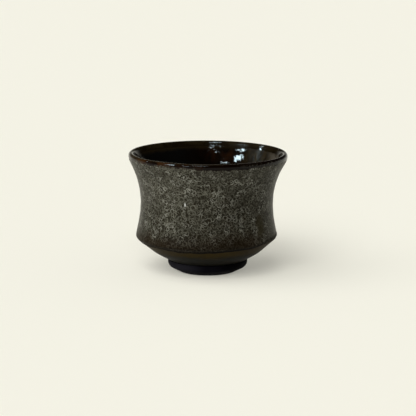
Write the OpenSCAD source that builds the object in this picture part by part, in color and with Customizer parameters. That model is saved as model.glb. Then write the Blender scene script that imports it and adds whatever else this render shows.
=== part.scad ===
// Guinomi: a small wheel-thrown sake cup with a waisted wall, a flared lip and a bare clay foot.
// Millimetres, +Z up, origin at the middle of the face that the foot stands on.

/* [Cup] */
// Height from the standing face to the crest of the lip
cup_h = 54.5; // [50:0.5:60]
// Radius of the waist, the narrowest place of the wall
waist_r = 30.1; // [26:0.1:34]
// Height of the waist above the standing face
waist_z = 31.4; // [28:0.1:36]
// How far the lip stands out from the waist
lip_out = 5.9; // [4:0.1:7]
// Height of the upright stretch at the top of the lip
lip_upright = 2.65; // [2:0.05:3.2]
// How far the shoulder stands out from the waist, before its edge is rounded
shoulder_out = 2.2; // [1.5:0.1:3]
// Height of the shoulder above the standing face, before its edge is rounded
shoulder_z = 15.9; // [14:0.1:18]
// Radius at which the belly slope turns steeper
belly_r = 24.35; // [22:0.05:26]
// Height at which the belly slope turns steeper
belly_z = 9.1; // [8:0.1:10]

/* [Curves] */
// Curve radius of the wall below the waist
waist_low_curve = 45; // [30:1:54]
// Curve radius of the wall above the waist
waist_high_curve = 37; // [26:0.5:37.5]
// Curve radius where the flare turns upright at the lip
flare_curve = 5; // [2:0.5:6]
// Edge radius on the outer side of the lip
lip_outer_edge = 1.25; // [0.8:0.05:1.3]
// Edge radius on the inner side of the lip
lip_inner_edge = 1.18; // [0.8:0.02:1.2]
// Curve radius of the shoulder
shoulder_curve = 2; // [1:0.1:4]
// Curve radius of the belly slope
belly_curve = 25; // [10:1:60]
// Curve radius inside, between the wall and the belly
inner_shoulder_curve = 7; // [4:0.5:7.5]
// Curve radius inside, between the belly and the floor
inner_floor_curve = 20; // [10:1:24]

/* [Wall] */
// Thickness of the finished wall
wall_t = 3; // [2.5:0.1:3.5]
// Thickness of the finished belly
belly_t = 3.6; // [3:0.1:4.2]
// Height of the inner floor above the standing face
floor_z = 9.4; // [8.2:0.1:11]

/* [Foot] */
// Outer radius of the foot ring
foot_r = 18.25; // [17.8:0.05:19]
// Height of the foot ring
foot_h = 5.45; // [5:0.05:5.8]
// Outer radius of the flat face that the foot stands on
land_r = 13.3; // [12.8:0.1:14.5]
// Radius of the recess at its mouth
recess_r = 10.4; // [9:0.1:11]
// Taper of the recess wall, in degrees
recess_taper = 8; // [2:1:12]
// Rise of the recess roof in its middle
recess_dome = 0.6; // [0.2:0.1:1]
// Height of the bevel's corner on the outside of the foot
bevel_z = 2.2; // [1.8:0.1:2.6]
// Curve radius of the bevel's corner
bevel_curve = 2.5; // [1:0.1:3]
// Edge radius of the flat face, on both sides
land_edge = 0.7; // [0.4:0.1:0.9]
// Edge radius at the top of the foot
foot_top_edge = 0.25; // [0.1:0.05:0.35]
// Ledge left bare on the foot's top, outside the glaze
foot_ledge = 0.4; // [0.35:0.05:0.8]

/* [Glaze] */
// Thickness of the glaze coats
glaze_t = 0.4; // [0.3:0.05:0.5]
// Height of the dip line of the speckled coat, on the cup's axis
dip_z = 14.1; // [13:0.1:14.6]
// Tilt of the dip line down to the left, in degrees
dip_tilt = 3.2; // [0:0.1:4]
// Tilt of the dip line down to the front, in degrees
dip_front = 0.8; // [0:0.1:1.5]
// Share of the flare's turn at which the lip's coat begins outside
lip_band_out_share = 0.65; // [0.3:0.05:0.9]
// Share of the straight inner flare that the lip's coat covers
lip_band_in_share = 0.5; // [0.3:0.05:0.8]

/* [Hidden] */
$fn = 96;
// Greatest gap between a curve of the outline and its chords
chord_gap = 0.03;
// Widest angle that one chord spans, in degrees
chord_angle = 15;
// Share that a waist curve takes at most of the one that would reach its corner
full_curve_share = 0.98;
// How far a cutting solid runs past what it cuts
overrun = 2;

// Angle of travel from one point to the next
function bearing(a, b) = atan2(b[1] - a[1], b[0] - a[0]);
// One unit along a bearing, and one unit to its left
function ahead(h) = [cos(h), sin(h)];
function left_of(h) = [-sin(h), cos(h)];
// Smallest turn from one bearing to another, left positive
function turn_from(h, k) = let (d = k - h) d > 180 ? d - 360 : (d < -180 ? d + 360 : d);
// Point where the line through p on bearing h meets the line through q on bearing k
function meeting(p, h, q, k) = p + ahead(h) * (left_of(k) * (q - p)) / (left_of(k) * ahead(h));
function as_point(c) = [c[0], c[1]];
function after_first(list) = [for (i = [1:len(list) - 1]) list[i]];
function reversed(list) = [for (i = [len(list) - 1:-1:0]) list[i]];

// Chords that a curve of radius r needs over a turn
function chords(r, turn) =
    max(1, ceil(abs(turn) / min(chord_angle, 2 * acos(1 - min(chord_gap / r, 1)))));

// An outline is a list of corners, each [radius, height, curve radius]
function leg(line, i) = norm(as_point(line[i]) - as_point(line[i - 1]));
function turn_at(line, i) = turn_from(bearing(line[i - 1], line[i]), bearing(line[i], line[i + 1]));
// Length that a corner's curve takes from each of its legs
function taken(line, i) =
    i < 1 || i > len(line) - 2 || line[i][2] == 0 ? 0 : line[i][2] * tan(abs(turn_at(line, i)) / 2);
// Two curves that would overlap on their common leg both shrink by this factor
function leg_fit(line, i) =
    let (both = taken(line, i - 1) + taken(line, i)) both > leg(line, i) ? leg(line, i) / both : 1;
function fitted(line, i) = line[i][2] * min(leg_fit(line, i), leg_fit(line, i + 1));

// Curve at corner i of an outline, moved left by inset, from one share of its turn to another
function rounded(line, i, inset = 0, from_share = 0, to_share = 1) =
    let (
        h = bearing(line[i - 1], line[i]),
        turn = turn_at(line, i),
        curve = fitted(line, i),
        r = sign(turn) * curve,
        centre = as_point(line[i]) - curve * tan(abs(turn) / 2) * ahead(h) + r * left_of(h),
        steps = chords(curve, turn * (to_share - from_share))
    )
    [for (k = [0:steps])
        let (share = from_share + (to_share - from_share) * k / steps)
        centre + (inset - r) * left_of(h + turn * share)];

// A waist curve stands upright at the waist and runs to a tangent that meets a corner, which lies
// out from the waist and away from its height
function waist_curve(curve, out, away) =
    min(curve, full_curve_share * (out * out + away * away) / (2 * out));
function waist_lean(curve, out, away) =
    asin(curve / norm([curve - out, away])) + atan2(away, curve - out) - 90;

lip_r = waist_r + lip_out;
flare_z = cup_h - lip_upright;
low_curve = waist_curve(waist_low_curve, shoulder_out, waist_z - shoulder_z);
low_lean = waist_lean(low_curve, shoulder_out, waist_z - shoulder_z);
high_curve = waist_curve(waist_high_curve, lip_out, flare_z - waist_z);
high_lean = waist_lean(high_curve, lip_out, flare_z - waist_z);

// Half of the waist from its narrowest place outwards, at a depth in the wall; way is 1 up, -1 down
function half_waist(curve, lean, way, depth) =
    let (steps = chords(curve, lean))
    [for (k = [0:steps])
        let (a = lean * k / steps)
        [waist_r + curve - (curve + depth) * cos(a), waist_z + way * (curve + depth) * sin(a)]];
function low_waist(depth) = half_waist(low_curve, low_lean, -1, depth);
function high_waist(depth) = half_waist(high_curve, high_lean, 1, depth);
function last_of(list) = list[len(list) - 1];

low_end = last_of(low_waist(0));
high_end = last_of(high_waist(0));
inner_high_end = last_of(high_waist(wall_t));
inner_low_end = last_of(low_waist(wall_t));

// Inner corners, each where two legs parallel to the outer ones meet
belly_out = bearing([belly_r, belly_z], [waist_r + shoulder_out, shoulder_z]);
belly_face = [belly_r, belly_z] + belly_t * left_of(belly_out);
inner_lip = meeting(inner_high_end, 90 - high_lean, [0, cup_h], 0);
inner_shoulder = meeting(inner_low_end, 270 + low_lean, belly_face, belly_out);
inner_floor = meeting(inner_shoulder, belly_out, [0, floor_z], 0);
lip_band_end = inner_lip + (inner_high_end - inner_lip) * lip_band_in_share;

// The finished surface: from the foot up the outside, over the lip and down to the floor's middle
surface = [
    [foot_r - foot_ledge, foot_h, 0],
    [belly_r, belly_z, belly_curve],
    [waist_r + shoulder_out, shoulder_z, shoulder_curve],
    [low_end[0], low_end[1], 0],
    [high_end[0], high_end[1], 0],
    [lip_r, flare_z, flare_curve],
    [lip_r, cup_h, lip_outer_edge],
    [inner_lip[0], inner_lip[1], lip_inner_edge],
    [lip_band_end[0], lip_band_end[1], 0],
    [inner_low_end[0], inner_low_end[1], 0],
    [inner_shoulder[0], inner_shoulder[1], inner_shoulder_curve],
    [inner_floor[0], inner_floor[1], inner_floor_curve],
    [0, floor_z, 0]
];
skirt_pitch = bearing(surface[0], surface[1]);

// Three stretches of the surface, each moved into the wall by inset
function wall_line(inset) = concat(
    [[foot_r - foot_ledge - inset / sin(skirt_pitch), foot_h]],
    rounded(surface, 1, inset),
    rounded(surface, 2, inset),
    reversed(low_waist(inset)),
    after_first(high_waist(inset)),
    rounded(surface, 5, inset, 0, lip_band_out_share)
);
function lip_line(inset) = concat(
    rounded(surface, 5, inset, lip_band_out_share, 1),
    rounded(surface, 6, inset),
    rounded(surface, 7, inset),
    [lip_band_end + inset * left_of(270 - high_lean)]
);
function inner_line(inset) = concat(
    [lip_band_end + inset * left_of(270 - high_lean)],
    reversed(high_waist(wall_t - inset)),
    after_first(low_waist(wall_t - inset)),
    rounded(surface, 10, inset),
    rounded(surface, 11, inset),
    [[0, floor_z - inset]]
);

// Recess under the bowl, inside the foot ring
recess_top_r = recess_r - foot_h * tan(recess_taper);
function recess_roof() = [for (share = [0:0.25:1])
    [recess_top_r * share, foot_h + recess_dome * (1 - share * share)]];

module clay_bowl() {
    color("#2b2622")
    rotate_extrude()
    polygon(concat(
        recess_roof(),
        wall_line(glaze_t),
        after_first(lip_line(glaze_t)),
        after_first(inner_line(glaze_t))
    ));
}

module foot_ring() {
    corners = [
        [recess_top_r, foot_h, 0],
        [recess_r, 0, land_edge],
        [land_r, 0, land_edge],
        [foot_r, bevel_z, bevel_curve],
        [foot_r, foot_h, foot_top_edge],
        [recess_top_r, foot_h, 0]
    ];
    color("#16151b")
    rotate_extrude()
    polygon(concat([[recess_top_r, foot_h]], [for (i = [1:4]) each rounded(corners, i)]));
}

// A coat lies between a stretch of the surface and the clay under it
module coat(face, back) {
    rotate_extrude()
    polygon(concat(face, reversed(back)));
}

// Everything under the tilted dip line
module below_dip() {
    translate([0, 0, dip_z])
    rotate([dip_front, -dip_tilt, 0])
    translate([0, 0, -dip_z - overrun])
    cylinder(r = lip_r + overrun, h = dip_z + overrun);
}

module outer_glaze() {
    color("#4b463c")
    difference() {
        coat(wall_line(0), wall_line(glaze_t));
        below_dip();
    }
}

module lip_glaze() {
    color("#3a2010")
    coat(lip_line(0), lip_line(glaze_t));
}

module inner_glaze() {
    color("#180d08")
    coat(inner_line(0), inner_line(glaze_t));
}

module skirt_glaze() {
    color("#33291a")
    intersection() {
        coat(wall_line(0), wall_line(glaze_t));
        below_dip();
    }
}

clay_bowl();
foot_ring();
outer_glaze();
lip_glaze();
inner_glaze();
skirt_glaze();
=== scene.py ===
import bpy
import bmesh
import math
import numpy as np
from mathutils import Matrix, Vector


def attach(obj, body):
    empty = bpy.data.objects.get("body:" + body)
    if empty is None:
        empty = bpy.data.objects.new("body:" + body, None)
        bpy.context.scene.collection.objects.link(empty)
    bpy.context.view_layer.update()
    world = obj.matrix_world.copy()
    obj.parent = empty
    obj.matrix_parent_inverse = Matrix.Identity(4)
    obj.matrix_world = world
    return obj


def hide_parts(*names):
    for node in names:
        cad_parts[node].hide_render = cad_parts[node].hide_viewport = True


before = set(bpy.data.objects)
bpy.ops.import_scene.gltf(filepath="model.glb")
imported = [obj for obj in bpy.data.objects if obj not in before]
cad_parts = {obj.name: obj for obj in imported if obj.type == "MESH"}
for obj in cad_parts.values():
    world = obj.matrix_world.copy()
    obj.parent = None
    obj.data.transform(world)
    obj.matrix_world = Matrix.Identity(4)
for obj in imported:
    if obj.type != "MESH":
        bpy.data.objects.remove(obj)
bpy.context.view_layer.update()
mm = 0.001
cupHeight = 54.5
rimRadius = 36.0
leastRadius = 0.001  # keeps a division by the radius safe on the axis
# points nearer than this are made one: on a line, in a finished piece, and where the bowl is joined
lineWeld = 0.002
pieceWeld = 0.0015
bowlWeld = 0.02
print("frame loaded")

# The finished surface, from the foot's top up the outside, over the lip and down to the middle of the
# floor: radius, height and curve radius of each corner, in millimetres.
cupShape = {
    "outside": [
        (17.85, 5.45, 0),
        (24.35, 9.1, 25),
        (32.3, 15.9, 2),
        (30.1, 26.97, 45),
        (30.1, 40.31, 37),
        (35.985, 51.85, 5),
        (35.985, cupHeight, 1.25),
        (33.99, cupHeight, 1.18),
    ],
    "inside": [
        (27.1, 41.03, 40),
        (27.1, 26.68, 48),
        (28.88, 17.71, 7),
        (19.16, 9.4, 20),
        (0, 9.4, 0),
    ],
    "step": 0.3,  # longest chord of the line
    "around": 256,  # steps of a full turn
}

# How the thrown cup departs from a true turned one.
throwing = {
    "leanHeights": [0, 5.5, 9, 14, 22, 31.4, 38.4, 43, 47, 50.4, cupHeight],
    "leans": [-0.16, -0.16, -0.35, -0.66, -0.68, -0.5, -0.44, -0.34, -0.2, 0, 0],
    "rimDrop": 0.2,  # how far the rim drops in its middle; its right drops twice as far
    "rimDropFrom": 30.0,  # height where that starts
    "ripple": 0.05,  # depth of the throwing rings on the wall
    "ripplePitch": 5.2,  # height from one ring to the next
    "rippleFrom": (14, 22),  # heights between which the rings set in, and where they fade
    "rippleTo": (45, 51),
    "unround": 0.08,  # greatest soft dent of the wall
    "dentsFrom": (7, 16),
    "dentsTo": (49, 53),
    "roll": 0.06,  # how far the glaze stands out where the lip's coat ends inside
    "rollAt": 51.7,  # height of that roll
    "rollWide": 1.3,  # how far up and down it reaches
    "rollBearing": 152.7,  # degrees round the cup where it stands out most
    "rollSpan": 12.0,  # how far round that reaches
    "rollElsewhere": 0.2,  # its share elsewhere
}


def inMetres(x, y, z):
    return Vector((x, y, z)) * mm


def lineTo(bm, tip, x, z, step):
    # draws a straight stretch of the line, in pieces no longer than step
    start = tip.co.copy()
    end = inMetres(x, 0, z)
    pieces = max(1, math.ceil((end - start).length / (step * mm)))
    for k in range(pieces):
        here = start.lerp(end, (k + 1) / pieces)
        tip = bmesh.ops.extrude_vert_indiv(bm, verts=[tip])["verts"][0]
        bmesh.ops.translate(bm, verts=[tip], vec=here - tip.co)
    return tip


def drawLine(corners, step, closed=False):
    # a wire in the XZ plane, each corner rounded to its curve radius
    bm = bmesh.new()
    places = [Vector((c[0], 0, c[1])) for c in corners]
    tip = bmesh.ops.create_vert(bm, co=places[0] * mm)["vert"][0]
    for k in range(1, len(corners) - 1):
        into = (places[k] - places[k - 1]).normalized()
        out = (places[k + 1] - places[k]).normalized()
        turn = math.atan2(into.x * out.z - into.z * out.x, into.dot(out))
        curve = corners[k][2]
        reach = curve * math.tan(abs(turn) / 2)
        start = places[k] - into * reach
        tip = lineTo(bm, tip, start.x, start.z, step)
        if curve and abs(turn) > 0.001:
            toCentre = Vector((-into.z, 0, into.x)) * math.copysign(curve, turn)
            arc = bmesh.ops.spin(
                bm, geom=[tip], cent=(start + toCentre) * mm, axis=(0, -1, 0), angle=turn,
                steps=max(2, math.ceil(curve * abs(turn) / step)), use_duplicate=False)
            tip = [v for v in arc["geom_last"] if isinstance(v, bmesh.types.BMVert)][0]
    tip = lineTo(bm, tip, places[-1].x, places[-1].z, step)
    if closed:
        bmesh.ops.remove_doubles(bm, verts=bm.verts, dist=lineWeld * mm)
    return bm


def readLine(corners, step):
    # the points of the rounded line in order, as rows of radius and height in millimetres
    bm = drawLine(corners, step)
    bmesh.ops.remove_doubles(bm, verts=bm.verts, dist=lineWeld * mm)
    bm.verts.ensure_lookup_table()
    ends = [v for v in bm.verts if len(v.link_edges) == 1]
    here = min(ends, key=lambda v: abs(v.co.x - corners[0][0] * mm) + abs(v.co.z - corners[0][1] * mm))
    walked = [here]
    edge = here.link_edges[0]
    while edge:
        here = edge.other_vert(here)
        walked.append(here)
        onward = [e for e in here.link_edges if e is not edge]
        edge = onward[0] if onward else None
    line = np.array([(v.co.x / mm, v.co.z / mm) for v in walked])
    bm.free()
    return line


surfaceLine = readLine(cupShape["outside"] + cupShape["inside"], cupShape["step"] / 2)
stretches = np.hypot(*np.diff(surfaceLine, axis=0).T)
surfaceRun = np.concatenate([[0], np.cumsum(stretches)])
headings = np.gradient(surfaceLine, surfaceRun, axis=0)
headings /= np.linalg.norm(headings, axis=1)[:, None]
intoWall = np.stack([-headings[:, 1], headings[:, 0]], axis=1)
crestPlace = int(surfaceLine[:, 1].argmax())
wholeRun = float(surfaceRun[-1])


def runAtHeight(height, inside=False):
    # length along the surface at a height, outside or inside
    if inside:
        part = slice(crestPlace, None)
        return float(np.interp(-height, -surfaceLine[part, 1], surfaceRun[part]))
    part = slice(0, crestPlace + 1)
    return float(np.interp(height, surfaceLine[part, 1], surfaceRun[part]))


def surfaceAt(run, depth):
    # radius and height of places at a length along the surface and a depth in the wall
    r = np.interp(run, surfaceRun, surfaceLine[:, 0]) + depth * np.interp(run, surfaceRun, intoWall[:, 0])
    z = np.interp(run, surfaceRun, surfaceLine[:, 1]) + depth * np.interp(run, surfaceRun, intoWall[:, 1])
    beyond = np.minimum(run, 0)
    r = r + beyond * headings[0, 0]
    z = z + beyond * headings[0, 1]
    return np.maximum(r, 0), z


def smooth(low, high, value):
    # soft step from 0 at low to 1 at high
    t = np.clip((value - low) / (high - low), 0, 1)
    return t * t * (3 - 2 * t)


def softDents(x, y, z):
    # slow waves between 0 and 1, by which the wall is never quite round
    waves = np.sin(0.071 * x + 0.043 * y + 0.9) + np.sin(0.052 * y - 0.064 * z + 2.1)
    waves += np.sin(0.083 * z + 0.058 * x - 0.037 * y + 4.0)
    return 0.5 + waves / 6


def throwByHand(places):
    # gives the true shape the lean, rings and soft dents of the potter's hands
    x, y, z = places.T
    radius = np.maximum(np.hypot(x, y), leastRadius)
    bearing = np.arctan2(x, -y)
    ring = 0.5 + 0.5 * np.cos(2 * np.pi * z / throwing["ripplePitch"] + bearing)
    rings = ring * smooth(*throwing["rippleFrom"], z) * (1 - smooth(*throwing["rippleTo"], z))
    dents = softDents(x, y, z) * smooth(*throwing["dentsFrom"], z) * (1 - smooth(*throwing["dentsTo"], z))
    inward = throwing["ripple"] * rings + throwing["unround"] * dents
    share = 1 - inward / radius
    x, y = x * share, y * share
    x = x + np.interp(z, throwing["leanHeights"], throwing["leans"])
    drop = throwing["rimDrop"] * smooth(throwing["rimDropFrom"], cupHeight, z)
    return np.stack([x, y, z - drop * (1 + x / rimRadius)], axis=1)


def reshape(bm, move):
    # moves all points of a mesh at once; move takes and gives rows of x, y, z in millimetres
    mesh = bpy.data.meshes.new("draft")
    bm.to_mesh(mesh)
    places = np.empty(len(mesh.vertices) * 3)
    mesh.vertices.foreach_get("co", places)
    places = move(places.reshape(-1, 3) / mm)
    mesh.vertices.foreach_set("co", (places * mm).ravel())
    bm.clear()
    bm.from_mesh(mesh)
    bpy.data.meshes.remove(mesh)


def tubeAround(bm):
    # turns a wire in the XZ plane once round the Z axis
    bmesh.ops.spin(
        bm, geom=bm.verts[:] + bm.edges[:], cent=(0, 0, 0), axis=(0, 0, 1), angle=2 * math.pi,
        steps=cupShape["around"], use_merge=True, use_duplicate=False)


def finishMesh(bm, name, material, node, sharp=50):
    # makes the piece; edges over sharp degrees stay crisp
    bmesh.ops.remove_doubles(bm, verts=bm.verts, dist=pieceWeld * mm)
    bmesh.ops.dissolve_degenerate(bm, edges=bm.edges, dist=pieceWeld * mm / 3)
    bmesh.ops.recalc_face_normals(bm, faces=bm.faces)
    mesh = bpy.data.meshes.new(name)
    bm.to_mesh(mesh)
    bm.free()
    mesh.polygons.foreach_set("use_smooth", [True] * len(mesh.polygons))
    mesh.set_sharp_from_angle(angle=math.radians(sharp))
    mesh.materials.append(material)
    piece = bpy.data.objects.new(name, mesh)
    bpy.context.scene.collection.objects.link(piece)
    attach(piece, "root")
    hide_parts(node)
    print("made", name, len(mesh.polygons), "faces")
    return piece


tubeRadius = 100.0  # the coats are turned on a tube of this radius before they are bent to the wall
rollRun = runAtHeight(throwing["rollAt"], inside=True)


def bendToWall(places, waveAt=None):
    # bends a straight tube, whose height is length along the surface, to the cup's wall
    x, y, z = places.T
    bearing = np.arctan2(x, -y)
    run = z + (waveAt(np.degrees(bearing), z) if waveAt else 0)
    thereabouts = np.exp(-((np.degrees(bearing) - throwing["rollBearing"]) / throwing["rollSpan"]) ** 2)
    share = throwing["rollElsewhere"] + (1 - throwing["rollElsewhere"]) * thereabouts
    roll = throwing["roll"] * share * np.exp(-((run - rollRun) / throwing["rollWide"]) ** 2)
    r, height = surfaceAt(run, tubeRadius - np.hypot(x, y) - roll)
    return np.stack([r * np.sin(bearing), -r * np.cos(bearing), height], axis=1)


def layCoat(corners, waveAt=None, coarse=1.0):
    # corners give a closed section as depth in the wall and length along the surface
    bm = drawLine([(tubeRadius - c[0], c[1], c[2]) for c in corners], cupShape["step"] * coarse, closed=True)
    tubeAround(bm)
    reshape(bm, lambda places: throwByHand(bendToWall(places, waveAt)))
    return bm


class NodeDraft:
    # short calls for building a node tree
    def __init__(self, tree):
        self.tree = tree

    def add(self, kind, **settings):
        node = self.tree.nodes.new(kind)
        for key, value in settings.items():
            setattr(node, key, value)
        return node

    def plug(self, socket, source):
        if isinstance(source, bpy.types.NodeSocket):
            self.tree.links.new(source, socket)
        elif isinstance(source, (tuple, list)) and len(source) == 3 and socket.type == "RGBA":
            socket.default_value = (*source, 1)
        else:
            socket.default_value = source

    def math(self, operation, a, b=0.0, c=None, clamp=False):
        node = self.add("ShaderNodeMath", operation=operation, use_clamp=clamp)
        for socket, value in zip(node.inputs, [a, b] + ([c] if c is not None else [])):
            self.plug(socket, value)
        return node.outputs[0]

    def times(self, a, b, clamp=False):
        return self.math("MULTIPLY", a, b, clamp=clamp)

    def plus(self, a, b):
        return self.math("ADD", a, b)

    def larger(self, a, b, clamp=False):
        return self.math("MAXIMUM", a, b, clamp=clamp)

    def scaled(self, value, factor, start):
        # start, and factor times the value on top
        return self.math("MULTIPLY_ADD", value, factor, start)

    def adjusted(self, value, mask, change):
        # the value, changed by that share of itself where the mask is 1
        return self.times(value, self.scaled(mask, change, 1.0))

    def wavered(self, value, place, scale, detail, reach):
        # the value moved about by noise, so that what it bounds has a wavy edge
        return self.scaled(self.noise(place, scale, detail), reach, value)

    def zone(self, first, firstStep, second, secondStep):
        # 1 where both values are past their soft steps
        return self.times(self.ramp(first, *firstStep), self.ramp(second, *secondStep))

    def ramp(self, value, low, high, outLow=0.0, outHigh=1.0):
        # soft step from outLow at low to outHigh at high
        node = self.add("ShaderNodeMapRange", interpolation_type="SMOOTHSTEP")
        for socket, given in zip(node.inputs, [value, low, high, outLow, outHigh]):
            self.plug(socket, given)
        return node.outputs[0]

    def mix(self, share, a, b, blend="MIX"):
        node = self.add("ShaderNodeMix", data_type="RGBA", blend_type=blend)
        self.plug(node.inputs[0], share)
        self.plug(node.inputs[6], a)
        self.plug(node.inputs[7], b)
        return node.outputs[2]

    def noise(self, vector, scale, detail=2.0, rough=0.5, distortion=0.0):
        # scale is about the number of its waves to a metre
        node = self.add("ShaderNodeTexNoise")
        self.plug(node.inputs["Vector"], vector)
        self.plug(node.inputs["Scale"], scale)
        self.plug(node.inputs["Detail"], detail)
        self.plug(node.inputs["Roughness"], rough)
        self.plug(node.inputs["Distortion"], distortion)
        return node.outputs[0]

    def split(self, vector):
        node = self.add("ShaderNodeSeparateXYZ")
        self.plug(node.inputs[0], vector)
        return node.outputs

    def upright(self, vector, tall):
        # pulls a pattern out upright
        node = self.add("ShaderNodeMapping")
        self.plug(node.inputs["Vector"], vector)
        node.inputs["Scale"].default_value = (1, 1, 1 / tall)
        return node.outputs[0]

    def vector(self, operation, a, b=None):
        node = self.add("ShaderNodeVectorMath", operation=operation)
        self.plug(node.inputs[0], a)
        if b is not None:
            self.plug(node.inputs[1], b)
        return node.outputs["Value" if operation in ("LENGTH", "DOT_PRODUCT", "DISTANCE") else "Vector"]

    def spot(self, place, centre, reach, tall=1.0):
        # 1 at a place on the cup, falling to 0 at reach, all in metres; tall stretches it upright
        node = self.add("ShaderNodeVectorMath", operation="DISTANCE")
        self.plug(node.inputs[0], self.upright(place, tall))
        node.inputs[1].default_value = (centre[0], centre[1], centre[2] / tall)
        return self.ramp(node.outputs["Value"], 0.0, reach, 1.0, 0.0)


def newMaterial(name):
    material = bpy.data.materials.new(name)
    material.use_nodes = True
    tree = material.node_tree
    tree.nodes.clear()
    draft = NodeDraft(tree)
    shader = draft.add("ShaderNodeBsdfPrincipled")
    output = draft.add("ShaderNodeOutputMaterial")
    tree.links.new(shader.outputs[0], output.inputs[0])
    place = draft.add("ShaderNodeTexCoord").outputs["Object"]
    return material, draft, shader, place


def dress(draft, shader, look, colour, dull, relief):
    # gives the shader its colour, roughness and relief, and the plain values of the look
    draft.plug(shader.inputs["Base Color"], colour)
    draft.plug(shader.inputs["Roughness"], dull)
    shader.inputs["Specular IOR Level"].default_value = look["specular"]
    shader.inputs["IOR"].default_value = look["ior"]
    distance, strength = look["relief"]
    bump = draft.add("ShaderNodeBump")
    bump.inputs["Strength"].default_value = strength
    bump.inputs["Distance"].default_value = distance
    draft.plug(bump.inputs["Height"], relief)
    draft.plug(shader.inputs["Normal"], bump.outputs[0])


def newGroup(name, inputs, outputs):
    tree = bpy.data.node_groups.new(name, "ShaderNodeTree")
    for label, kind in inputs:
        tree.interface.new_socket(label, in_out="INPUT", socket_type=kind)
    for label, kind in outputs:
        tree.interface.new_socket(label, in_out="OUTPUT", socket_type=kind)
    draft = NodeDraft(tree)
    return tree, draft, draft.add("NodeGroupInput").outputs, draft.add("NodeGroupOutput").inputs


def useGroup(draft, tree, **values):
    node = draft.add("ShaderNodeGroup", node_tree=tree)
    for key, value in values.items():
        draft.plug(node.inputs[key], value)
    return node.outputs


# One layer of broken rings, as crystals leave them in a cooling glaze; sizes in metres, on the wall's face
ringTree, draft, given, result = newGroup(
    "glazeRings",
    [("Place", "NodeSocketVector"), ("Offset", "NodeSocketVector"), ("Scale", "NodeSocketFloat"),
     ("Width", "NodeSocketFloat"), ("Least", "NodeSocketFloat"), ("Spread", "NodeSocketFloat"),
     ("Broken", "NodeSocketFloat")],
    [("Mask", "NodeSocketFloat"), ("Tone", "NodeSocketFloat")])
shifted = draft.vector("ADD", given["Place"], given["Offset"])
cells = draft.add("ShaderNodeTexVoronoi", feature="F1")
draft.plug(cells.inputs["Vector"], shifted)
draft.plug(cells.inputs["Scale"], given["Scale"])
chance = draft.split(cells.outputs["Color"])
offCentre = draft.vector("SUBTRACT", shifted, cells.outputs["Position"])
outward = draft.vector("NORMALIZE", draft.vector("MULTIPLY", given["Place"], (1, 1, 0)))
depthSquared = draft.math("POWER", draft.vector("DOT_PRODUCT", offCentre, outward), 2.0)
awaySquared = draft.math("POWER", draft.vector("LENGTH", offCentre), 2.0)
across = draft.math("SQRT", draft.math("SUBTRACT", awaySquared, depthSquared))
radius = draft.scaled(chance[0], given["Spread"], given["Least"])
offLine = draft.math("ABSOLUTE", draft.math("SUBTRACT", across, radius))
line = draft.ramp(offLine, 0.0, given["Width"], 1.0, 0.0)
gaps = draft.noise(shifted, draft.times(given["Scale"], 1.3), 1.0)
kept = draft.ramp(gaps, given["Broken"], draft.plus(given["Broken"], 0.10))
draft.plug(result["Mask"], draft.times(line, kept))
draft.plug(result["Tone"], chance[1])

# Slow change of tone over a glaze, from the fire
fireTree, draft, given, result = newGroup(
    "fireTone",
    [("Place", "NodeSocketVector"), ("Scale", "NodeSocketFloat"), ("Low", "NodeSocketFloat"),
     ("High", "NodeSocketFloat")],
    [("Mask", "NodeSocketFloat")])
clouds = draft.noise(given["Place"], given["Scale"], 3.0, 0.55, 0.3)
draft.plug(result["Mask"], draft.ramp(clouds, given["Low"], given["High"]))


def fireTone(draft, place, scale, low, high):
    return useGroup(draft, fireTree, Place=place, Scale=scale, Low=low, High=high)["Mask"]


# Where the speckles end under the lip, as a wavy line that sags in front; soft steps, across and up
speckleEnd = {
    "sagLeft": (-0.012, -0.001, -0.0004, 0.0005),
    "sagRight": (0.014, 0.024, 0.0, -0.0002),
    "wave": 0.0030,
    "mask": (0.0534, 0.0540),
    "gloss": (0.0532, 0.0538),
}
endTree, draft, given, result = newGroup(
    "speckleEnd",
    [("Place", "NodeSocketVector")],
    [("Mask", "NodeSocketFloat"), ("Gloss", "NodeSocketFloat")])
x, y, z = draft.split(given["Place"])
sag = draft.plus(draft.ramp(x, *speckleEnd["sagLeft"]), draft.ramp(x, *speckleEnd["sagRight"]))
wavy = draft.noise(given["Place"], 330, 3.0, 0.6)
waved = draft.scaled(wavy, speckleEnd["wave"], draft.plus(z, sag))
draft.plug(result["Mask"], draft.ramp(waved, *speckleEnd["mask"]))
draft.plug(result["Gloss"], draft.ramp(waved, *speckleEnd["gloss"]))

# How a finish looks: colours, then roughness, specular level, index of refraction, and the height and
# strength of its fine relief.
speckledLook = {
    "ground": (0.0135, 0.0115, 0.0060),
    "paleLitSheenGround": (0.0350, 0.0315, 0.0215),
    "palestLitSheenGround": (0.0600, 0.0550, 0.0420),
    "brownGround": (0.0115, 0.0065, 0.0020),
    "shadeGround": (0.0055, 0.0040, 0.0016),
    "burntGround": (0.0052, 0.0031, 0.0009),
    "amberGround": (0.0150, 0.0112, 0.0016),
    "sideSheenGround": (0.0980, 0.0900, 0.0700),
    "line": (0.225, 0.220, 0.170),
    "brightLine": (0.53, 0.525, 0.435),
    "brownLine": (0.125, 0.098, 0.062),
    "edge": (0.0018, 0.0009, 0.0003),
    "lip": (0.0040, 0.0015, 0.0005),
    "lipWarm": (0.0280, 0.0095, 0.0014),
    "paintedGlint": (0.55, 0.56, 0.52),
    "roughness": 0.36,
    "lipRoughness": 0.10,
    "specular": 0.12,
    "ior": 1.25,
    "relief": (0.00006, 0.5),
}

# Layers of rings: cells to a metre, then the line's width, the least radius and its spread in metres,
# how broken the lines are, and a shift that keeps the layers apart.
ringLayers = [
    (390, 0.00027, 0.00072, 0.00055, 0.38, 0.011),
    (530, 0.00025, 0.00048, 0.00045, 0.40, 0.037),
    (720, 0.00024, 0.00032, 0.00038, 0.44, 0.053),
]

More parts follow.
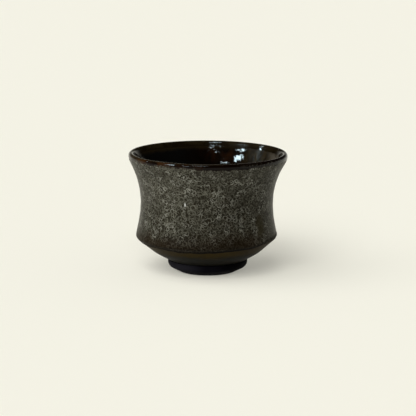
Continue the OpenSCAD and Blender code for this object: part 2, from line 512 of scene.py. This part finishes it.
# Where the speckled glaze changes: the ends of soft steps, in metres across (x) or up (z), and the
# values there if they aren't 0 and 1.
speckledSteps = {
    "shadedLowRightX": (0.004, 0.027),
    "shadedLowRightZ": (0.044, 0.034),
    "litUpLeftX": (-0.002, -0.018),
    "litUpLeftZ": (0.030, 0.045),
    "fewerLow": (0.0185, 0.034, 0.72, 1.0),
    "lightFromLeft": (0.026, -0.02),
    "lightFromLeftUp": (0.018, 0.046),
    "paleTop": (0.035, 0.047),
    "rightSheenX": (0.0255, 0.0290),
    "rightSheenZ": (0.0320, 0.0250),
    "palestTop": (0.044, 0.050, 0.0, 0.35),
    "shoulderSheenX": (0.0285, 0.0312),
    "shoulderSheenZ": (0.0300, 0.0220),
    "waistSheenX": (0.0250, 0.0285),
    "waistSheenBegins": (0.0270, 0.0310),
    "waistSheenEnds": (0.0440, 0.0370),
    "low": (0.0270, 0.0205),
    "lowRight": (0.0180, 0.0265, 1.0, 0.2),
    "burntFromLeft": (-0.024, -0.004),
    "burntToRight": (0.026, 0.010, 0.25, 0.8),
    "leftSide": (-0.0275, -0.0325, 0.0, 0.35),
    "rightEdgeSheen": (0.0292, 0.0318, 0.0, 0.7),
    "edgeFromLeft": (-0.014, 0.006, 0.35, 1.0),
    "edgeToRight": (0.0200, 0.0270, 1.0, 0.5),
    "warmLeft": (0.004, -0.024),
}

# Single places on it: centre, reach and how much taller than wide.
speckledSpots = {
    "paintedShade": ((0.0085, -0.0290, 0.0270), 0.0205),
    "amber": ((0.0240, -0.0198, 0.0249), 0.0042, 1.9),
    "rustLeft": ((-0.0275, -0.0145, 0.0155), 0.008),
    "paintedGlint": ((-0.0100, -0.0284, 0.0354), 0.0009, 1.9),
}


def ringLines(draft, place):
    # all layers of rings, with slightly wavering lines
    wobble = draft.add("ShaderNodeTexNoise")
    draft.plug(wobble.inputs["Vector"], place)
    wobble.inputs["Scale"].default_value = 900
    wobble.inputs["Detail"].default_value = 1
    moved = draft.add("ShaderNodeVectorMath", operation="MULTIPLY_ADD")
    draft.plug(moved.inputs[0], wobble.outputs["Color"])
    moved.inputs[1].default_value = (0.0006, 0.0006, 0.0006)
    draft.plug(moved.inputs[2], place)
    total = None
    for scale, width, least, spread, broken, shift in ringLayers:
        rings = useGroup(
            draft, ringTree, Place=moved.outputs[0], Offset=(shift, shift * 2, shift * 3), Scale=scale,
            Width=width, Least=least, Spread=spread, Broken=broken)
        layer = draft.times(rings["Mask"], draft.scaled(rings["Tone"], 0.7, 0.3))
        total = layer if total is None else draft.larger(total, layer)
    return total


def speckledGlaze():
    material, draft, shader, place = newMaterial("speckledGreyGlaze")
    look = speckledLook
    steps = speckledSteps
    x, y, z = draft.split(place)
    # painted light and shade: the upper left counts as lit and the lower right as shaded, by where the light
    # falls
    shadedLowRight = draft.zone(x, steps["shadedLowRightX"], z, steps["shadedLowRightZ"])
    litUpLeft = draft.zone(x, steps["litUpLeftX"], z, steps["litUpLeftZ"])
    # painted shade: a soft darker patch right of the middle of the front, where less light falls; it dims
    # the rings and darkens the ground
    paintedShade = draft.spot(place, *speckledSpots["paintedShade"])
    # the rings come in crowds and are weaker low down; as painted light and shade they are stronger up the
    # left, weaker at the lower right, and weaker in a patch of painted shade
    crowd = fireTone(draft, place, 85.0, 0.36, 0.62)
    lines = draft.times(ringLines(draft, place), draft.scaled(crowd, 0.3, 0.7))
    lines = draft.adjusted(lines, shadedLowRight, -0.22)
    lines = draft.times(lines, draft.ramp(z, *steps["fewerLow"]))
    lines = draft.adjusted(lines, litUpLeft, 0.25)
    lines = draft.adjusted(lines, paintedShade, -0.45)
    grain = draft.ramp(draft.noise(place, 2600, 2.0), 0.25, 0.6, 0.6, 1.0)
    lines = draft.times(lines, grain, clamp=True)
    # the ground is paler near the lip and in random clouds; it is paler up the left as painted light, and
    # down the right edge as a painted sheen
    pale = draft.zone(x, steps["lightFromLeft"], z, steps["lightFromLeftUp"])
    pale = draft.larger(pale, draft.ramp(z, *steps["paleTop"]))
    pale = draft.larger(pale, draft.zone(x, steps["rightSheenX"], z, steps["rightSheenZ"]))
    cloud = fireTone(draft, place, 60.0, 0.40, 0.66)
    pale = draft.scaled(pale, 0.7, draft.times(cloud, 0.3))
    ground = draft.mix(pale, look["ground"], look["paleLitSheenGround"])
    # palest ground: painted light up the left, a paler band under the lip, and a painted sheen along the
    # right edge by the shoulder and the waist
    palestLitSheen = draft.larger(draft.times(litUpLeft, 0.5), draft.ramp(z, *steps["palestTop"]))
    palestLitSheen = draft.larger(palestLitSheen, draft.zone(x, steps["shoulderSheenX"], z, steps["shoulderSheenZ"]))
    waistSheen = draft.zone(x, steps["waistSheenX"], z, steps["waistSheenBegins"])
    palestLitSheen = draft.larger(palestLitSheen, draft.times(waistSheen, draft.ramp(z, *steps["waistSheenEnds"])))
    ground = draft.mix(palestLitSheen, ground, look["palestLitSheenGround"])
    ground = draft.mix(draft.times(paintedShade, 0.6), ground, look["shadeGround"])
    # and brown low down, in clouds and in two worn places
    tilted = draft.scaled(x, -0.02, draft.wavered(z, place, 190, 3.0, 0.007))
    low = draft.zone(tilted, steps["low"], x, steps["lowRight"])
    patch = draft.times(draft.spot(place, *speckledSpots["amber"]), 2.2, clamp=True)
    worn = draft.larger(patch, draft.spot(place, *speckledSpots["rustLeft"]))
    rust = draft.larger(low, worn, clamp=True)
    clouds = draft.ramp(draft.noise(place, 260, 3.0), 0.50, 0.68, 0.0, 0.5)
    ground = draft.mix(draft.larger(rust, clouds), ground, look["brownGround"])
    burnt = draft.zone(x, steps["burntFromLeft"], x, steps["burntToRight"])
    ground = draft.mix(draft.times(low, burnt), ground, look["burntGround"])
    ground = draft.mix(draft.times(patch, 0.9), ground, look["amberGround"])
    # painted sheen: the far left and right of the wall are paler, as the glaze mirrors its pale surroundings
    # at a grazing angle
    sideSheen = draft.larger(draft.ramp(x, *steps["leftSide"]), draft.ramp(x, *steps["rightEdgeSheen"]))
    ground = draft.mix(draft.adjusted(sideSheen, low, -0.45), ground, look["sideSheenGround"])
    bright = draft.ramp(draft.noise(place, 300, 2.0), 0.45, 0.68)
    lineColour = draft.mix(bright, look["line"], look["brightLine"])
    lineColour = draft.mix(draft.times(low, 0.7), lineColour, look["brownLine"])
    shown = draft.adjusted(draft.adjusted(lines, rust, -0.58), patch, -0.45)
    colour = draft.mix(shown, ground, lineColour)
    # the coat darkens where it ends, as pooled dark glaze and as painted shade under its bead, weaker on the
    # left where the light falls; it turns to rust under the lip
    dip = draft.add("ShaderNodeAttribute", attribute_name="edgeShare").outputs["Fac"]
    edge = draft.ramp(draft.wavered(dip, place, 700, 2.0, 0.5), 0.55, 1.0)
    deep = draft.zone(x, steps["edgeFromLeft"], x, steps["edgeToRight"])
    colour = draft.mix(draft.times(edge, deep), colour, look["edge"])
    end = useGroup(draft, endTree, Place=place)
    warmth = draft.ramp(draft.noise(place, 210, 2.0), 0.38, 0.6)
    warmth = draft.times(draft.ramp(x, *steps["warmLeft"]), warmth)
    colour = draft.mix(end["Mask"], colour, draft.mix(warmth, look["lip"], look["lipWarm"]))
    # a painted glint: a small near-white spot on the front of the wall
    paintedGlint = draft.ramp(draft.spot(place, *speckledSpots["paintedGlint"]), 0.2, 0.6)
    colour = draft.mix(paintedGlint, colour, look["paintedGlint"])
    dull = draft.scaled(end["Gloss"], look["lipRoughness"] - look["roughness"], look["roughness"])
    dull = draft.scaled(low, 0.12, dull)
    dull = draft.scaled(dip, 0.30, dull)
    dull = draft.scaled(lines, 0.12, dull)
    relief = draft.plus(draft.times(lines, 0.4), draft.noise(place, 900, 3.0))
    dress(draft, shader, look, colour, dull, relief)
    return material


rustLook = {
    "band": (0.0025, 0.0008, 0.0002),
    "warm": (0.0300, 0.0105, 0.0020),
    "pale": (0.0330, 0.0230, 0.0110),
    "crest": (0.0260, 0.0200, 0.0095),
    "inside": (0.0050, 0.0030, 0.0008),
    "insidePale": (0.0120, 0.0082, 0.0030),
    "speckleGround": (0.0200, 0.0165, 0.0100),
    "speckle": (0.1100, 0.1050, 0.0780),
    "roughness": 0.07,
    "specular": 0.12,
    "ior": 1.5,
    "relief": (0.00006, 0.5),
}

rustSteps = {
    "warmLeft": (0.01, -0.03),
    "lipSheenFromLeft": (-0.027, -0.035),
    "flecksRight": (0.010, 0.026),
    "flecksUnder": (0.0540, 0.0532, 0.0, 0.45),
    "insideUp": (0.0524, 0.0541, 0.25, 1.0),
    "inward": (0.0350, 0.0345),  # distance from the axis
    "crest": (0.0543, 0.0547),
}


def rustLipGlaze():
    material, draft, shader, place = newMaterial("rustLipGlaze")
    look = rustLook
    steps = rustSteps
    x, y, z = draft.split(place)
    broken = fireTone(draft, place, 160.0, 0.38, 0.64)
    warmth = draft.times(draft.ramp(x, *steps["warmLeft"]), broken)
    outside = draft.mix(warmth, look["band"], look["warm"])
    # painted sheen: the far left of the lip is paler, as the glaze mirrors the pale ground at a grazing
    # angle
    lipSheenLeft = draft.times(draft.ramp(x, *steps["lipSheenFromLeft"]), draft.scaled(broken, 0.7, 0.3))
    outside = draft.mix(lipSheenLeft, outside, look["pale"])
    # the speckles of the coat below run on to their wavy end
    speckles = draft.ramp(draft.noise(place, 1500, 2.0), 0.42, 0.62)
    mottle = draft.mix(speckles, look["speckleGround"], look["speckle"])
    outside = draft.mix(useGroup(draft, endTree, Place=place)["Mask"], mottle, outside)
    flecks = draft.ramp(draft.noise(place, 1300, 2.0), 0.50, 0.66)
    flecks = draft.times(flecks, draft.zone(x, steps["flecksRight"], z, steps["flecksUnder"]))
    outside = draft.mix(flecks, outside, look["speckle"])
    up = draft.ramp(draft.wavered(z, place, 260, 2.0, 0.0010), *steps["insideUp"])
    inside = draft.mix(draft.times(broken, up), look["inside"], look["insidePale"])
    fromAxis = draft.vector("LENGTH", draft.vector("MULTIPLY", place, (1, 1, 0)))
    colour = draft.mix(draft.ramp(fromAxis, *steps["inward"]), outside, inside)
    # a painted highlight: a thin pale line along the top of the lip
    crest = draft.ramp(draft.wavered(z, place, 300, 2.0, 0.0005), *steps["crest"])
    colour = draft.mix(crest, colour, look["crest"])
    dull = draft.scaled(broken, 0.03, look["roughness"])
    dress(draft, shader, look, colour, dull, draft.noise(place, 620, 1.0))
    return material


innerLook = {
    "deep": (0.0014, 0.0008, 0.0004),
    "deepLeft": (0.0022, 0.0021, 0.0018),
    "innerSheenRight": (0.0850, 0.0740, 0.0560),
    "warm": (0.0120, 0.0040, 0.0010),
    "strip": (0.0110, 0.0072, 0.0025),
    "olive": (0.0230, 0.0165, 0.0070),
    "roughness": 0.05,
    "specular": 0.07,
    "ior": 1.5,
    "relief": (0.00011, 0.5),
}

innerSteps = {
    "left": (-0.004, -0.016),
    "warmRight": (-0.01, 0.012),
    "oliveRight": (0.014, 0.026),
    "innerSheenRight": (0.0262, 0.0315),
    "innerSheenUp": (0.040, 0.047),
    "strip": (0.0508, 0.0536),
    "dullRight": (0.0195, 0.0245, 0.0, 0.22),
}


def innerGlaze():
    material, draft, shader, place = newMaterial("blackBrownGlaze")
    look = innerLook
    steps = innerSteps
    x, y, z = draft.split(place)
    deep = draft.mix(draft.ramp(x, *steps["left"]), look["deep"], look["deepLeft"])
    warmth = draft.times(fireTone(draft, place, 110.0, 0.40, 0.70), draft.ramp(x, *steps["warmRight"]))
    colour = draft.mix(warmth, deep, look["warm"])
    olive = draft.ramp(draft.wavered(x, place, 130, 2.0, 0.008), *steps["oliveRight"])
    colour = draft.mix(draft.times(olive, 0.8), colour, look["olive"])
    # the deep colour shows again in upright streaks
    streaks = draft.ramp(draft.noise(draft.upright(place, 4), 330, 3.0), 0.42, 0.62, 0.65, 0.0)
    colour = draft.mix(streaks, colour, deep)
    # a painted reflection: a pale sheen up the far right of the inside, where the glaze mirrors the pale
    # ground
    innerSheen = draft.zone(x, steps["innerSheenRight"], z, steps["innerSheenUp"])
    innerSheen = draft.times(innerSheen, draft.ramp(draft.noise(place, 420, 3.0), 0.35, 0.55, 0.5, 1.0))
    colour = draft.mix(innerSheen, colour, look["innerSheenRight"])
    top = draft.ramp(draft.wavered(z, place, 220, 2.0, 0.0018), *steps["strip"])
    colour = draft.mix(top, colour, look["strip"])
    # the wall is duller on its right
    dull = draft.ramp(draft.wavered(x, place, 150, 2.0, 0.006), *steps["dullRight"])
    dull = draft.plus(dull, look["roughness"])
    dress(draft, shader, look, colour, dull, draft.noise(place, 620, 1.0))
    return material


skirtLook = {
    "brown": (0.0540, 0.0360, 0.0085),
    "brownShadedRight": (0.0300, 0.0190, 0.0038),
    "grey": (0.0200, 0.0195, 0.0155),
    "greyShadedRight": (0.0095, 0.0090, 0.0070),
    "tan": (0.030, 0.021, 0.009),
    "ash": (0.020, 0.020, 0.018),
    "roughness": 0.34,
    "specular": 0.04,
    "ior": 1.25,
    "relief": (0.00004, 0.5),
}

skirtSteps = {
    "brownShadedRight": (0.006, 0.020),
    "greyShadedRight": (0.004, 0.020),
    "brownUp": (0.0108, 0.0138),
    "tanLitLeft": (-0.006, -0.022),
    "ashDown": (0.0085, 0.0062),
}


def skirtGlaze():
    material, draft, shader, place = newMaterial("oliveBrownGlaze")
    look = skirtLook
    steps = skirtSteps
    x, y, z = draft.split(place)
    # painted shade: the brown and the grey darken toward the right, away from the light
    brown = draft.mix(draft.ramp(x, *steps["brownShadedRight"]), look["brown"], look["brownShadedRight"])
    grey = draft.mix(draft.ramp(x, *steps["greyShadedRight"]), look["grey"], look["greyShadedRight"])
    up = draft.ramp(draft.wavered(z, place, 140, 3.0, 0.0030), *steps["brownUp"])
    colour = draft.mix(up, grey, brown)
    streaks = draft.ramp(draft.noise(draft.upright(place, 1 / 3), 230, 3.0), 0.45, 0.7)
    colour = draft.mix(draft.times(streaks, 0.35), colour, look["tan"])
    # painted light: paler tan toward the left, where the light falls, and greyer low on that side
    left = draft.ramp(x, *steps["tanLitLeft"])
    colour = draft.mix(draft.times(left, 0.35), colour, look["tan"])
    colour = draft.mix(draft.times(left, draft.ramp(z, *steps["ashDown"])), colour, look["ash"])
    dull = draft.scaled(draft.noise(place, 400, 2.0), 0.16, look["roughness"])
    dress(draft, shader, look, colour, dull, draft.noise(place, 1200, 3.0))
    return material


clayLook = {
    "foot": (0.0026, 0.0023, 0.0042),
    "footLitLeft": (0.0240, 0.0225, 0.0290),
    "footShadedRight": (0.0005, 0.0004, 0.0007),
    "pale": (0.0075, 0.0068, 0.0095),
    "bowl": (0.0060, 0.0050, 0.0052),
    "roughness": 0.82,
    "specular": 0.03,
    "ior": 1.5,
    "relief": (0.00012, 0.7),
}

claySteps = {
    "lightFromLeft": (0.001, -0.013),
    "shadedRightX": (0.002, 0.014),
}


def bareClay(name, base, left=None, shadedRight=None):
    # when given two colours, the foot is painted paler on its left as painted light and darker on its right
    # as painted shade
    material, draft, shader, place = newMaterial(name)
    look = clayLook
    x, y, z = draft.split(place)
    if left:
        base = draft.mix(draft.ramp(x, *claySteps["lightFromLeft"]), base, left)
        base = draft.mix(draft.ramp(x, *claySteps["shadedRightX"]), base, shadedRight)
    patches = fireTone(draft, place, 170.0, 0.40, 0.72)
    colour = draft.mix(draft.times(patches, 0.3), base, look["pale"])
    grit = draft.noise(place, 2400, 3.0, 0.6)
    colour = draft.mix(draft.ramp(grit, 0.60, 0.72), colour, look["pale"])
    dull = draft.scaled(patches, -0.14, look["roughness"])
    dress(draft, shader, look, colour, dull, draft.plus(grit, draft.noise(place, 700, 2.0)))
    return material


speckled = speckledGlaze()
rust = rustLipGlaze()
blackBrown = innerGlaze()
oliveBrown = skirtGlaze()
footClay = bareClay("bareFootClay", clayLook["foot"], clayLook["footLitLeft"], clayLook["footShadedRight"])
bowlClay = bareClay("darkClay", clayLook["bowl"])
print("materials ready")

coats = {
    "thick": 0.4,  # glaze over the clay
    "skirtDepth": 0.12,  # how far the skirt's coat lies under the speckled one
    "skirtTo": 18.6,  # height to which it runs up under it
    "undercut": 0.1,  # how far a coat's lower end slopes in under its edge
    "skirtCurve": 0.12,  # curve radius of the skirt's edge
    "bead": 0.04,  # how far the speckled coat swells at its lower edge
    # the swell's line: share of the bead, length up from the edge, curve radius
    "beadLine": [(1, 0, 0.22), (1, 1.1, 1.2), (0, 2.2, 2.0)],
    "lipFrom": 52.23,  # height where the lip's coat begins outside
    "lipInside": 52.05,  # height where it ends inside
    "waveTo": 24,  # height above which the dip line's waves no longer move the wall
    "wavers": 0.10,  # the small waves of the dip line, and the finer ones on them
    "fineWavers": 0.07,
    "edgeDarkens": (0.5, 2.6),  # distances from its edge between which the coat loses its dark end
    "innerCoarse": 1.4,  # step of the mesh inside, against that outside
    # the dip line: degrees round the cup from the front, and length along the surface from the foot
    "dipBearings": [
        -180, -150, -120, -90, -59, -49, -39, -31, -24, -16, -7, 1, 6, 15, 24, 30, 40, 46, 52, 61, 90, 120,
        150, 180,
    ],
    "dipRuns": [
        15.8, 16.1, 15.3, 14.6, 14.75, 15.2, 15.1, 14.4, 13.8, 14.0, 14.0, 14.3, 14.4, 14.8, 15.2, 15.35,
        15.5, 16.1, 17.1, 17.7, 18.1, 17.3, 16.5, 15.8,
    ],
}
thick = coats["thick"]
dipBase = 15.0  # run of the speckled coat's end before it is waved
lipRun = runAtHeight(coats["lipFrom"])
bandRun = runAtHeight(coats["lipInside"], inside=True)
waveEndRun = runAtHeight(coats["waveTo"])


def dipWave(bearing, run):
    # lifts or lowers the coat's lower end round the cup, and leaves the wall above as it is
    there = np.interp(bearing, coats["dipBearings"], coats["dipRuns"]) - dipBase
    turned = np.radians(bearing)
    there = there + coats["wavers"] * np.sin(23 * turned + 1)
    there = there + coats["fineWavers"] * np.sin(41 * turned + 2 * np.sin(3 * turned))
    return there * (1 - smooth(dipBase, waveEndRun, run))


def markEdge(piece):
    # stores how near each point lies to the coat's lower edge
    mesh = piece.data
    layer = mesh.attributes.new("edgeShare", "FLOAT", "POINT")
    places = np.empty(len(mesh.vertices) * 3)
    mesh.vertices.foreach_get("co", places)
    places = places.reshape(-1, 3) / mm
    lean = np.interp(places[:, 2], throwing["leanHeights"], throwing["leans"])
    bearing = np.degrees(np.arctan2(places[:, 0] - lean, -places[:, 1]))
    run = np.interp(places[:, 2], surfaceLine[:crestPlace + 1, 1], surfaceRun[:crestPlace + 1])
    edge = np.interp(bearing, coats["dipBearings"], coats["dipRuns"])
    layer.data.foreach_set("value", 1 - smooth(*coats["edgeDarkens"], run - edge))


def speckledCoat():
    # its lower end swells to a bead, which dies out up the wall
    begin = (thick, dipBase + coats["undercut"], 0)
    swell = [(-share * coats["bead"], dipBase + up, curve) for share, up, curve in coats["beadLine"]]
    return layCoat([begin, *swell, (0, lipRun, 0), (thick, lipRun, 0), begin], dipWave)


def evenCoat(start, end, coarse=1.0):
    # a coat of full thickness from one length along the surface to another
    begin = (thick, start, 0)
    return layCoat([begin, (0, start, 0), (0, end, 0), (thick, end, 0), begin], coarse=coarse)


def skirtCoat():
    # begins above the foot with a rounded edge, and runs up under the speckled coat
    sunk = coats["skirtDepth"]
    end = runAtHeight(coats["skirtTo"])
    begin = (thick, coats["undercut"], 0)
    return layCoat([begin, (sunk, 0, coats["skirtCurve"]), (sunk, end, 0), (thick, end, 0), begin])


outerCoat = finishMesh(speckledCoat(), "outerGlazeCoat", speckled, "outer_glaze")
markEdge(outerCoat)
finishMesh(evenCoat(lipRun, bandRun), "lipGlazeCoat", rust, "lip_glaze")
innerCoat = evenCoat(bandRun, wholeRun, coats["innerCoarse"])
finishMesh(innerCoat, "innerGlazeCoat", blackBrown, "inner_glaze")
finishMesh(skirtCoat(), "skirtGlazeCoat", oliveBrown, "skirt_glaze")

foot = {
    "section": [
        (17.25, 5.45, 0), (18.1, 5.45, 0.25), (18.1, 2.7, 2.5), (12.9, 0, 0.7), (10.4, 0, 0.7),
        (9.63, 5.0, 0.4), (9.2, 5.45, 0),
    ],
    "roof": [(0, 6.05, 0), (4.6, 5.93, 14), (9.4, 5.46, 0)],  # the bowl's underside within the foot
    "step": 0.2,
    "turning": 0.035,  # depth of the turning tool's grooves
    "turningPitch": 0.62,  # from one groove to the next
    "turnedOutside": 17.3,  # radius beyond which the foot's side is grooved, between two heights
    "turnedHeights": (0.9, 5.3),
    "turnedInside": 9.5,  # radius within which the roof of the recess is grooved
    "roofDeeper": 3.0,  # depth and pitch of the grooves there, against those on the side
    "roofWider": 2.6,
}


def turnedGrooves(places):
    # spiral grooves left by the turning tool, on the foot's side and under the bowl
    x, y, z = places.T
    pitch = foot["turningPitch"]
    lowest, highest = foot["turnedHeights"]
    radius = np.maximum(np.hypot(x, y), leastRadius)
    bearing = np.arctan2(x, -y)
    side = (radius > foot["turnedOutside"]) & (z < highest) & (z > lowest)
    cut = side * foot["turning"] * (0.5 + 0.5 * np.cos(2 * np.pi * z / pitch + bearing))
    roof = (radius < foot["turnedInside"]) & (z > highest)
    swirl = 0.5 + 0.5 * np.cos(2 * np.pi * radius / (pitch * foot["roofWider"]) - bearing)
    lift = roof * foot["roofDeeper"] * foot["turning"] * swirl * np.minimum(1, radius / 2)
    share = 1 - cut / radius
    return np.stack([x * share, y * share, z + lift], axis=1)


def footRing():
    section = foot["section"]
    bm = drawLine(section + [section[0]], foot["step"], closed=True)
    tubeAround(bm)
    reshape(bm, lambda places: throwByHand(turnedGrooves(places)))
    return bm


def clayBowl():
    # the clay under the glaze, closed below by the roof of the foot's recess
    bm = drawLine([(tubeRadius - thick, 0.0, 0), (tubeRadius - thick, wholeRun, 0)], cupShape["step"] * 2)
    tubeAround(bm)
    reshape(bm, bendToWall)
    startR, startZ = surfaceAt(0.0, thick)
    under = drawLine(foot["roof"] + [(float(startR), float(startZ), 0)], foot["step"])
    tubeAround(under)
    reshape(under, turnedGrooves)
    mesh = bpy.data.meshes.new("under")
    under.to_mesh(mesh)
    under.free()
    bm.from_mesh(mesh)
    bpy.data.meshes.remove(mesh)
    bmesh.ops.remove_doubles(bm, verts=bm.verts, dist=bowlWeld * mm)
    reshape(bm, throwByHand)
    return bm


finishMesh(footRing(), "footRingClay", footClay, "foot_ring", 40)
finishMesh(clayBowl(), "clayBowlBody", bowlClay, "clay_bowl", 40)

studio = {
    "paper": (0.913, 0.896, 0.791),  # colour of the pale ground as the camera sees it
    "paperGlow": 0.33,  # share of that colour which no shadow dims
    "bounce": 0.3,  # how pale the ground is for the light that it throws back at the cup
    "floorReach": 4.0,
    "world": 0.29,  # soft light from all round
    "worldTint": (1.0, 1.0, 0.98),
    "lampsAim": (0, 0, 0.03),
    "lamps": [
        # name, degrees left of the camera's side, degrees up, width in degrees, share of the floor's light
        ("keyLeft", 74, 52, 56, 0.28),
        ("fillFront", 16, 40, 38, 0.43),
    ],
    "windows": [
        # bearing, height, width, height of the pane, brightness
        (62.5, 36.8, 0.21, 0.088, 190),
        (34.5, 32.6, 0.18, 0.036, 190),
        (15.0, 51.6, 0.30, 0.016, 190),
        (104.5, 30.2, 0.05, 0.018, 190),
    ],
    "windowsFrom": (0, 0, 0.048),  # the place that the panes' bearings are taken from
    "windowsAim": (0, 0.02, 0.048),
    "windowTint": (0.72, 0.92, 1.0),
    "backdrop": (0.80, 0.79, 0.70),  # what glaze mirrors behind and beside the cup
    "backdropBack": (-0.25, 0.35),  # soft steps of a direction's way back and up
    "backdropUp": (0.24, 0.04),
    "room": (0.012, 0.012, 0.012),  # and above and in front of it
    "glow": (0.16, 0.14, 0.11),  # and where the light comes from
    "glowFrom": (70, 35),
    "glowReach": (0.55, 0.95),
}


def seenRays(draft):
    # 1 where the camera sees a thing itself, in a mirror or through glass
    rays = draft.add("ShaderNodeLightPath").outputs
    seen = draft.larger(rays["Is Camera Ray"], rays["Is Glossy Ray"])
    return draft.larger(seen, rays["Is Transmission Ray"])


def studioFloor():
    bm = bmesh.new()
    bmesh.ops.create_grid(bm, x_segments=8, y_segments=8, size=studio["floorReach"])
    mesh = bpy.data.meshes.new("studioFloor")
    bm.to_mesh(mesh)
    bm.free()
    material, draft, shader, place = newMaterial("palePaper")
    dimmed = tuple(c * studio["bounce"] for c in studio["paper"])
    draft.plug(shader.inputs["Base Color"], draft.mix(seenRays(draft), dimmed, studio["paper"]))
    shader.inputs["Roughness"].default_value = 1.0
    shader.inputs["Specular IOR Level"].default_value = 0.0
    glow = draft.add("ShaderNodeEmission")
    draft.plug(glow.inputs["Color"], studio["paper"])
    both = draft.add("ShaderNodeMixShader")
    draft.plug(both.inputs[0], draft.times(seenRays(draft), studio["paperGlow"]))
    draft.plug(both.inputs[1], shader.outputs[0])
    draft.plug(both.inputs[2], glow.outputs[0])
    draft.plug(draft.tree.nodes["Material Output"].inputs[0], both.outputs[0])
    mesh.materials.append(material)
    floor = bpy.data.objects.new("studioFloor", mesh)
    bpy.context.scene.collection.objects.link(floor)


def fromBearing(bearing, height, distance):
    # a place seen from the cup: degrees left of the camera's side, and up
    turned = math.radians(bearing)
    up = math.radians(height)
    level = math.cos(up)
    return Vector((-math.sin(turned) * level, -math.cos(turned) * level, math.sin(up))) * distance


def addLamp(name, kind, power, place, aim, **settings):
    data = bpy.data.lights.new(name, kind)
    data.energy = power
    for key, value in settings.items():
        setattr(data, key, value)
    lamp = bpy.data.objects.new(name, data)
    lamp.location = place
    lamp.rotation_mode = "QUATERNION"
    lamp.rotation_quaternion = (aim - place).to_track_quat("-Z", "Y")
    bpy.context.scene.collection.objects.link(lamp)
    return lamp


def hangLamps():
    # suns of soft edge light the cup, and small panes give the glaze its highlights
    aim = Vector(studio["lampsAim"])
    for name, bearing, height, wide, share in studio["lamps"]:
        power = share * math.pi / math.sin(math.radians(height))
        place = fromBearing(bearing, height, 2.0)
        lamp = addLamp(name, "SUN", power, place, aim, angle=math.radians(wide))
        lamp.visible_glossy = False
    for k, (bearing, height, wide, tall, bright) in enumerate(studio["windows"]):
        power = bright * wide * tall * math.pi
        place = fromBearing(bearing, height, 1.0) + Vector(studio["windowsFrom"])
        lamp = addLamp(
            "window%d" % k, "AREA", power, place, Vector(studio["windowsAim"]),
            shape="RECTANGLE", size=wide, size_y=tall, color=studio["windowTint"])
        lamp.visible_diffuse = False


def buildWorld():
    # plain soft light all round; a mirror shows the backdrop, the room and the glow of the light
    world = bpy.data.worlds.new("studioWorld")
    bpy.context.scene.world = world
    world.use_nodes = True
    tree = world.node_tree
    tree.nodes.clear()
    draft = NodeDraft(tree)
    towards = draft.add("ShaderNodeTexCoord").outputs["Generated"]
    x, y, z = draft.split(towards)
    behind = draft.zone(y, studio["backdropBack"], z, studio["backdropUp"])
    mirrored = draft.mix(behind, studio["room"], studio["backdrop"])
    lightward = draft.vector("DOT_PRODUCT", towards, fromBearing(*studio["glowFrom"], 1.0))
    glow = draft.ramp(lightward, *studio["glowReach"])
    mirrored = draft.mix(glow, mirrored, studio["glow"], "ADD")
    soft = draft.add("ShaderNodeBackground")
    draft.plug(soft.inputs["Color"], studio["worldTint"])
    soft.inputs["Strength"].default_value = studio["world"]
    room = draft.add("ShaderNodeBackground")
    draft.plug(room.inputs["Color"], mirrored)
    both = draft.add("ShaderNodeMixShader")
    draft.plug(both.inputs[0], seenRays(draft))
    draft.plug(both.inputs[1], soft.outputs[0])
    draft.plug(both.inputs[2], room.outputs[0])
    output = draft.add("ShaderNodeOutputWorld")
    draft.plug(output.inputs[0], both.outputs[0])


view = {
    "distance": 0.850,
    "down": 10.74,  # degrees that the camera looks down
    "middle": 0.02725,  # height of the cup's middle
    "raise": 0.00130,  # how far the camera is raised from there, at a right angle to its line of sight
    "focal": 1869.0,  # focal length in pixels of the photograph's frame
    "frame": 416,
    "sensor": 36,
    "clip": (0.05, 20),
}


def buildCamera():
    data = bpy.data.cameras.new("studioCamera")
    data.sensor_width = view["sensor"]
    data.lens = view["focal"] * view["sensor"] / view["frame"]
    data.clip_start, data.clip_end = view["clip"]
    camera = bpy.data.objects.new("studioCamera", data)
    down = math.radians(view["down"])
    ahead = Vector((0, math.cos(down), -math.sin(down)))
    upward = Vector((0, math.sin(down), math.cos(down)))
    camera.location = Vector((0, 0, view["middle"])) - ahead * view["distance"] + upward * view["raise"]
    camera.rotation_mode = "QUATERNION"
    camera.rotation_quaternion = ahead.to_track_quat("-Z", "Y")
    bpy.context.scene.collection.objects.link(camera)
    bpy.context.scene.camera = camera


studioFloor()
hangLamps()
buildWorld()
buildCamera()
bpy.context.scene.view_settings.view_transform = "Standard"
print("studio ready")
